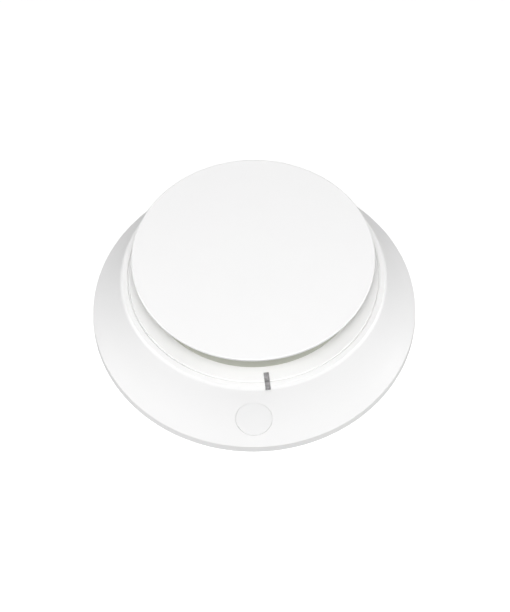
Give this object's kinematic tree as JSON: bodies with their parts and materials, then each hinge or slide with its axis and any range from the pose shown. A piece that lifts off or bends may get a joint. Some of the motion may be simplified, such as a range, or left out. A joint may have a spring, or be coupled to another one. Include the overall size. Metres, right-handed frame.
{
  "type": "photoelectric smoke detector",
  "caption": "Low round ceiling smoke detector: a capped sensing head with smoke vanes, locked by a twist into a wide flared base.",
  "frame": {"origin": "centre of the mounting face, where the base meets the ceiling", "axes": "+Z out of the ceiling through the cap, -Y towards the status light and the plain round disc"},
  "size_m": [0.162, 0.162, 0.0469],
  "materials": {
    "case_plastic": "fine satin moulded",
    "emblem_plastic": "plain satin disc",
    "smoked_lens": "smoked grey light bar",
    "plated_steel": "zinc plated",
    "cage_plastic": "satin moulded",
    "screen_steel": "fine stainless mesh",
    "chamber_plastic": "matt black",
    "infrared_lens": "blue tinted epoxy",
    "filter_epoxy": "black epoxy",
    "board_laminate": "green lacquered laminate",
    "switch_plastic": "black moulded",
    "dial_plastic": "orange moulded",
    "lamp_plastic": "clear lamp body",
    "tinned_steel": "bright tinned",
    "capacitor_sleeve": "dark blue sleeve",
    "reed_glass": "clear glass tube",
    "contact_brass": "bright spring brass"
  },
  "bodies": {
    "base": {"base_moulding": "case_plastic", "flared_skirt": "case_plastic", "emblem_disc": "emblem_plastic", "base_light": "smoked_lens", "terminal_screws": "plated_steel", "contact_clip_1": "contact_brass", "contact_clip_2": "contact_brass", "contact_clip_3": "contact_brass", "contact_clip_4": "contact_brass", "clamp_plate_1": "plated_steel", "clamp_plate_2": "plated_steel", "clamp_plate_3": "plated_steel", "clamp_plate_4": "plated_steel"},
    "head": {"head_housing": "case_plastic", "light_guide": "smoked_lens", "smoke_cage": "cage_plastic", "cap_disc": "case_plastic", "insect_screen": "screen_steel", "chamber_lid": "chamber_plastic", "chamber_base": "chamber_plastic", "infrared_emitter": "infrared_lens", "photodiode": "filter_epoxy", "head_board": "board_laminate", "back_cover": "case_plastic", "switch_tens": "switch_plastic", "switch_units": "switch_plastic", "cover_screws": "plated_steel", "status_light": "lamp_plastic", "shield_can": "tinned_steel", "controller_chip": "filter_epoxy", "bulk_capacitor": "capacitor_sleeve", "reed_switch": "reed_glass", "contact_blade_1": "contact_brass", "contact_blade_2": "contact_brass", "contact_blade_3": "contact_brass", "contact_blade_4": "contact_brass"},
    "dial_tens": {"dial_tens": "dial_plastic"},
    "dial_units": {"dial_units": "dial_plastic"}
  },
  "joints": [
    {"name": "head_twist", "type": "hinge", "parent": "base", "child": "head", "pos_m": [0, 0, 0.015], "axis": [0, 0, 1], "range_deg": [0, 18]},
    {"name": "dial_tens_turn", "type": "hinge", "parent": "head", "child": "dial_tens", "pos_m": [-0.012, 0, 0.0145], "axis": [0, 0, -1], "range_deg": [0, 324]},
    {"name": "dial_units_turn", "type": "hinge", "parent": "head", "child": "dial_units", "pos_m": [0.012, 0, 0.0145], "axis": [0, 0, -1], "range_deg": [0, 324]}
  ]
}
